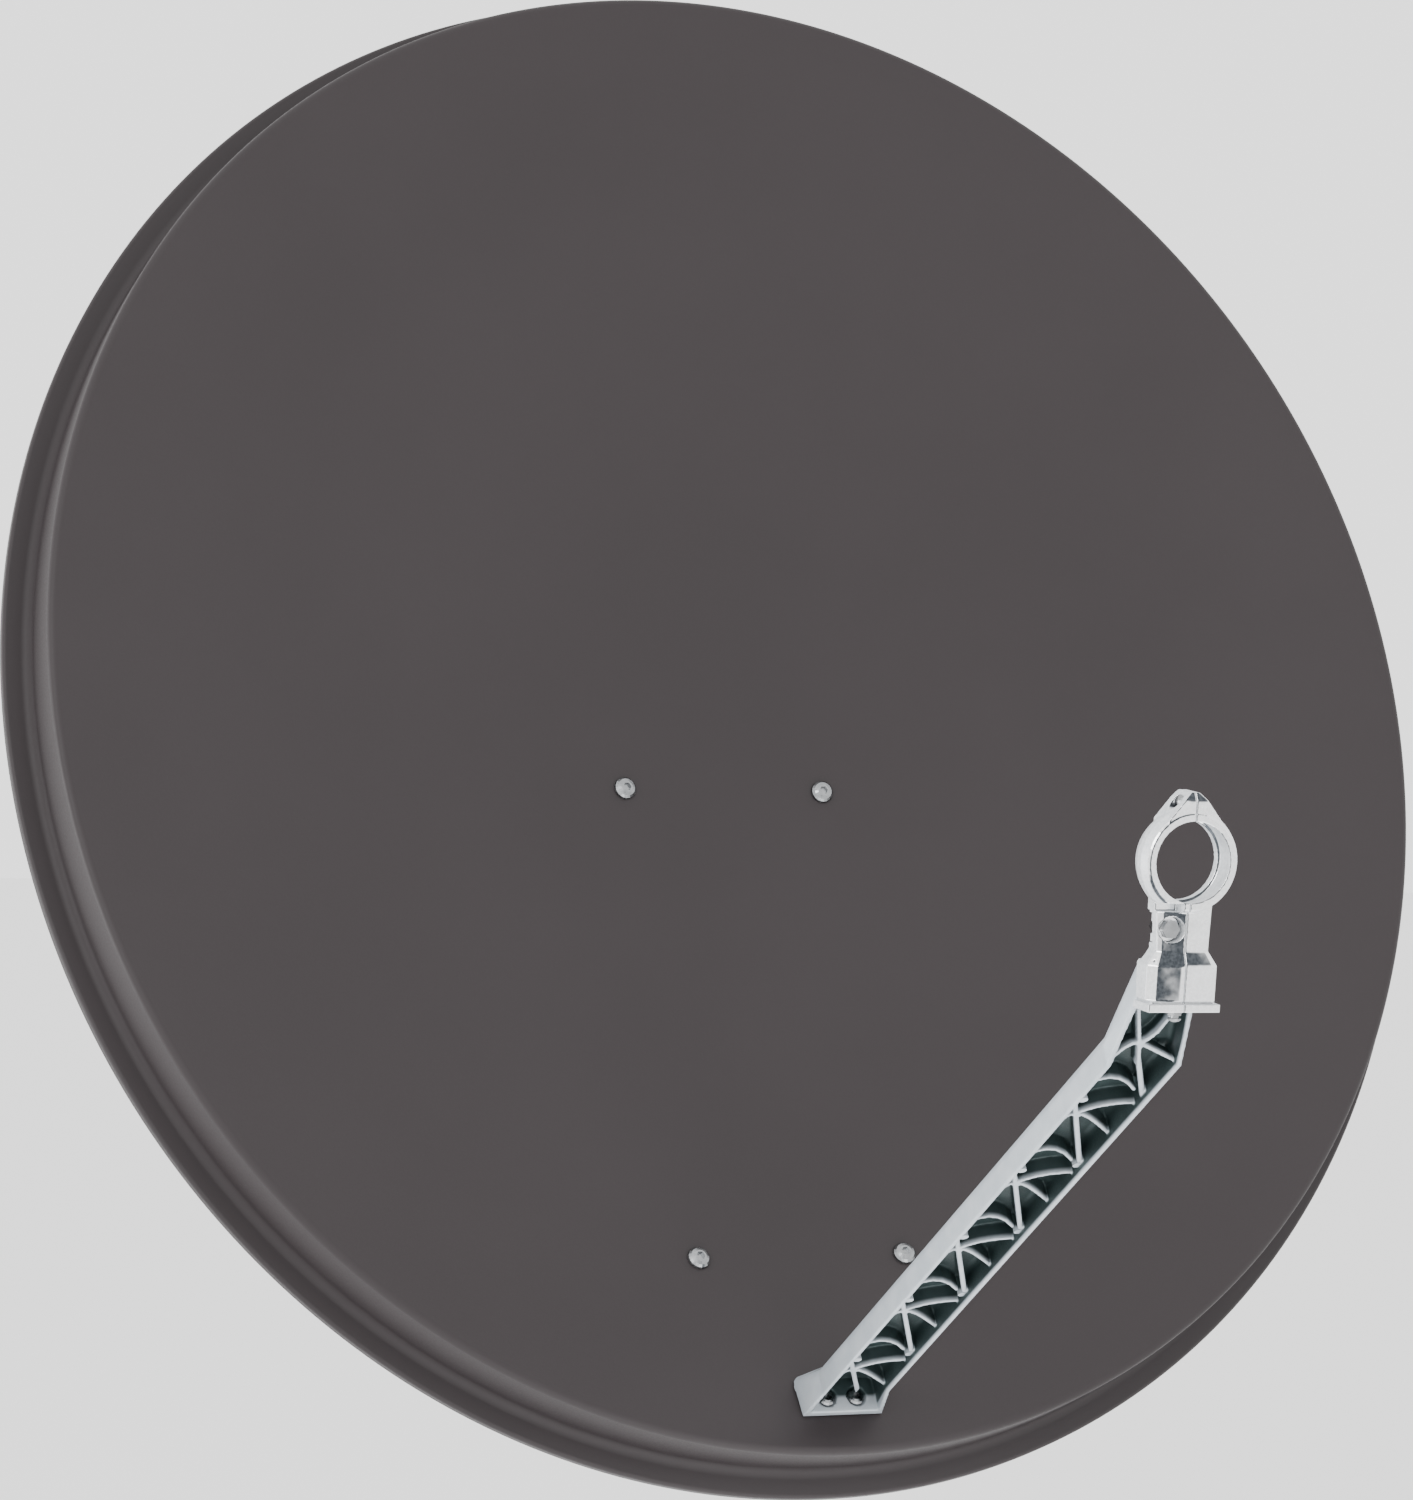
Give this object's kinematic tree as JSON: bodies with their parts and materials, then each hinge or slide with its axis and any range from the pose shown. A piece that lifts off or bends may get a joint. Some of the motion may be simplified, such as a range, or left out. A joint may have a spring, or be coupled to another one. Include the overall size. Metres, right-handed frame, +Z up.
{
  "type": "satellite dish",
  "caption": "Offset satellite dish: dark pressed reflector with a flanged rim, ribbed cast feed arm, two-part feed clamp, tilting back frame and toothed mast clamp.",
  "frame": {"origin": "on the axis of the mast, half way between the two clamp jaws", "axes": "+Z up along the mast, +X to the right of someone facing the front of the dish, and the dish looks along -Y"},
  "size_m": [0.85, 0.7521, 0.8522],
  "materials": {
    "painted_sheet": "satin anthracite powder coat",
    "cast_metal": "matt die-cast, light grey",
    "polished_casting": "bright tumbled die-casting",
    "zinc_plate": "zinc plated",
    "fasteners": "bright stainless"
  },
  "bodies": {
    "mount": {"mast_bracket": "zinc_plate", "mast_saddle": "cast_metal", "clamp_bolt_upper_left": "fasteners", "clamp_bolt_upper_right": "fasteners", "clamp_bolt_lower_left": "fasteners", "clamp_bolt_lower_right": "fasteners", "elevation_pivot_bolt": "fasteners", "elevation_pivot_nut": "fasteners"},
    "dish": {"reflector": "painted_sheet", "back_frame": "cast_metal", "reflector_screw_upper_left": "fasteners", "reflector_screw_upper_right": "fasteners", "reflector_screw_lower_left": "fasteners", "reflector_screw_lower_right": "fasteners", "reflector_nut_upper_left": "fasteners", "reflector_nut_upper_right": "fasteners", "reflector_nut_lower_left": "fasteners", "reflector_nut_lower_right": "fasteners", "elevation_lock_bolt_left": "fasteners", "elevation_lock_bolt_right": "fasteners", "elevation_lock_nut_left": "fasteners", "elevation_lock_nut_right": "fasteners", "feed_arm": "cast_metal", "arm_backing_plate": "zinc_plate", "arm_bolt_left": "fasteners", "arm_bolt_right": "fasteners", "arm_nut_left": "fasteners", "arm_nut_right": "fasteners", "lnb_holder_left": "polished_casting", "ring_screw": "fasteners", "neck_bolt": "fasteners", "neck_nut": "fasteners", "holder_bolt": "fasteners", "holder_nut": "fasteners"},
    "clamp_half": {"lnb_holder_right": "polished_casting"},
    "jaw_upper": {"mast_jaw_upper": "cast_metal", "clamp_nut_upper_left": "fasteners", "clamp_nut_upper_right": "fasteners"},
    "jaw_lower": {"mast_jaw_lower": "cast_metal", "clamp_nut_lower_left": "fasteners", "clamp_nut_lower_right": "fasteners"}
  },
  "joints": [
    {"name": "elevation", "type": "hinge", "parent": "mount", "child": "dish", "pos_m": [0, -0.085, 0.04], "axis": [-1, 0, 0], "range_deg": [-12, 22]},
    {"name": "lnb_clamp_open", "type": "slide", "parent": "dish", "child": "clamp_half", "axis": [1, 0, 0], "range_m": [0, 0.006]},
    {"name": "jaw_upper_open", "type": "slide", "parent": "mount", "child": "jaw_upper", "axis": [0, 1, 0], "range_m": [0, 0.03]},
    {"name": "jaw_lower_open", "type": "slide", "parent": "mount", "child": "jaw_lower", "axis": [0, 1, 0], "range_m": [0, 0.03]}
  ]
}
